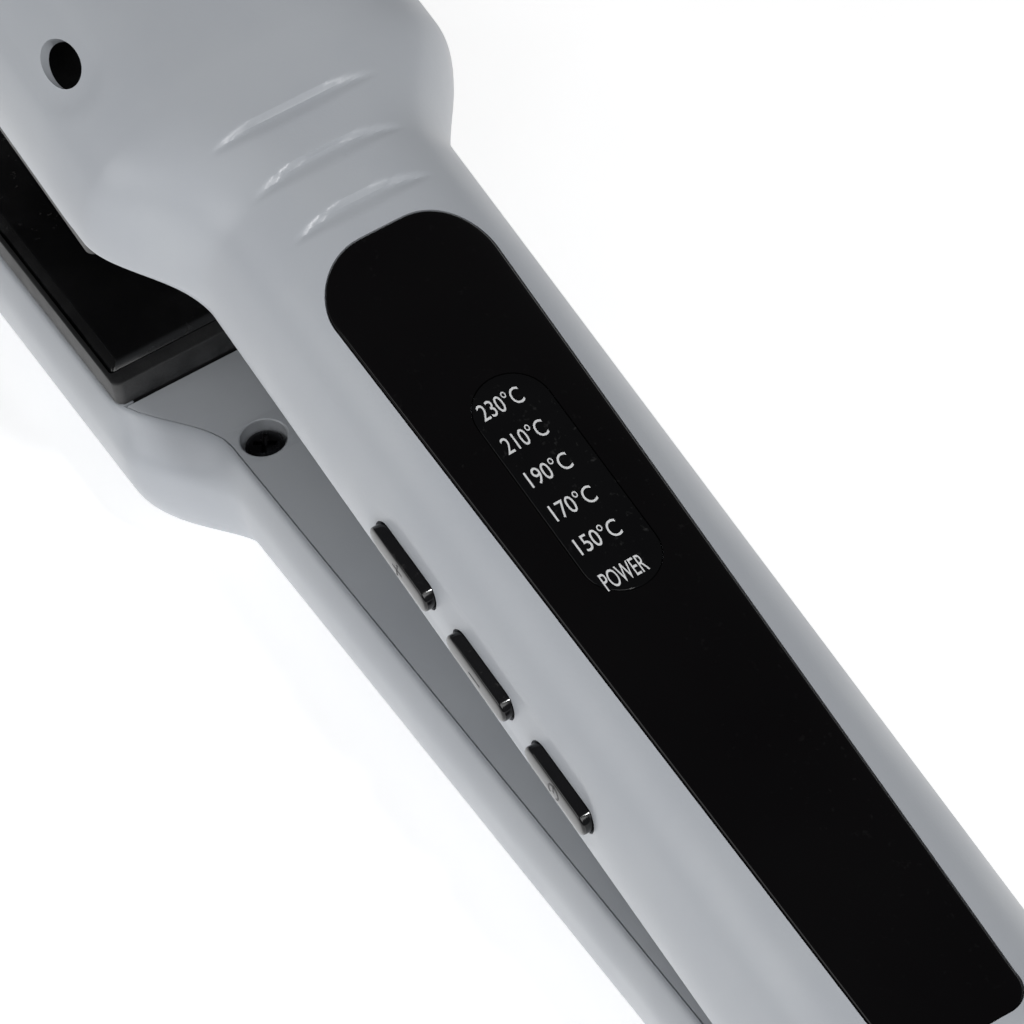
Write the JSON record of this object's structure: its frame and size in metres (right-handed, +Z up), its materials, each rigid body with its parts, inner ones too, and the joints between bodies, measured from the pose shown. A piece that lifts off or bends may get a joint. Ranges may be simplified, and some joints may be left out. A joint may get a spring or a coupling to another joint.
{
  "type": "hair straightener",
  "caption": "Wide-plate hair straightener with two hinged arms, floating plates, side buttons and a temperature display.",
  "frame": {"origin": "on the surface it lies on, under the middle of the overall box", "axes": "+X towards the tips of the arms, +Y across the arms towards the button side, +Z up, from the lower arm to the upper arm"},
  "size_m": [0.2912, 0.0494, 0.0952],
  "materials": {
    "shell": "satin, very fine grain",
    "inner_cover": "satin",
    "carrier": "fine texture",
    "plate": "black ceramic-type coating, satin gloss",
    "heater": "wrapped ceramic heater",
    "steel": "drawn",
    "screw": "blackened",
    "panel": "polished",
    "window": "smoked, polished",
    "board": "solder mask",
    "lamp": "clear",
    "switch": "moulded",
    "button": "light face, dark gloss sides",
    "swivel": "moulded"
  },
  "bodies": {
    "lower_arm": {"lower_cover_screw_left": "screw", "lower_cover_screw_right": "screw", "lower_inner_cover": "inner_cover", "lower_plate_carrier": "carrier", "lower_plate_spring_front": "steel", "lower_plate_spring_rear": "steel", "lower_shell": "shell", "hinge_pin": "steel", "hinge_spring": "steel"},
    "upper_arm": {"control_board": "board", "display_panel": "panel", "display_window": "window", "led_150": "lamp", "led_170": "lamp", "led_190": "lamp", "led_210": "lamp", "led_230": "lamp", "led_power": "lamp", "minus_switch": "switch", "plus_switch": "switch", "power_switch": "switch", "switch_board": "board", "upper_cover_screw_left": "screw", "upper_cover_screw_right": "screw", "upper_inner_cover": "inner_cover", "upper_plate_carrier": "carrier", "upper_plate_spring_front": "steel", "upper_plate_spring_rear": "steel", "upper_shell": "shell"},
    "upper_plate": {"upper_heating_plate": "plate", "upper_heater": "heater", "upper_heater_clamp": "steel", "upper_thermal_fuse": "steel"},
    "lower_plate": {"lower_heating_plate": "plate", "lower_heater": "heater", "lower_heater_clamp": "steel", "lower_thermal_fuse": "steel"},
    "plus_button": {"plus_button": "button"},
    "minus_button": {"minus_button": "button"},
    "power_button": {"power_button": "button"},
    "cord_swivel": {"cord_swivel": "swivel"}
  },
  "joints": [
    {"name": "arm_hinge", "type": "hinge", "parent": "lower_arm", "child": "upper_arm", "pos_m": [-0.11935, 0, 0.026], "axis": [0, 1, 0], "range_deg": [0, 9.8], "stiffness_Nm_per_rad": 0.9, "springref_deg": -22.92, "deforming": ["hinge_spring"]},
    {"name": "upper_plate_float", "type": "slide", "parent": "upper_arm", "child": "upper_plate", "axis": [-0.1702, 0, 0.9854], "range_m": [0, 0.0008], "stiffness_N_per_m": 4000, "springref_m": -0.001, "deforming": ["upper_plate_spring_front", "upper_plate_spring_rear"]},
    {"name": "lower_plate_float", "type": "slide", "parent": "lower_arm", "child": "lower_plate", "axis": [0, 0, -1], "range_m": [0, 0.0008], "stiffness_N_per_m": 4000, "springref_m": -0.001, "deforming": ["lower_plate_spring_front", "lower_plate_spring_rear"]},
    {"name": "plus_press", "type": "slide", "parent": "upper_arm", "child": "plus_button", "axis": [0, -1, 0], "range_m": [0, 0.0006], "stiffness_N_per_m": 1200, "springref_m": -0.0006},
    {"name": "minus_press", "type": "slide", "parent": "upper_arm", "child": "minus_button", "axis": [0, -1, 0], "range_m": [0, 0.0006], "stiffness_N_per_m": 1200, "springref_m": -0.0006},
    {"name": "power_press", "type": "slide", "parent": "upper_arm", "child": "power_button", "axis": [0, -1, 0], "range_m": [0, 0.0006], "stiffness_N_per_m": 1200, "springref_m": -0.0006},
    {"name": "cord_swivel_turn", "type": "hinge", "parent": "lower_arm", "child": "cord_swivel", "pos_m": [-0.1372, 0, 0.0172], "axis": [1, 0, 0], "continuous": true}
  ]
}
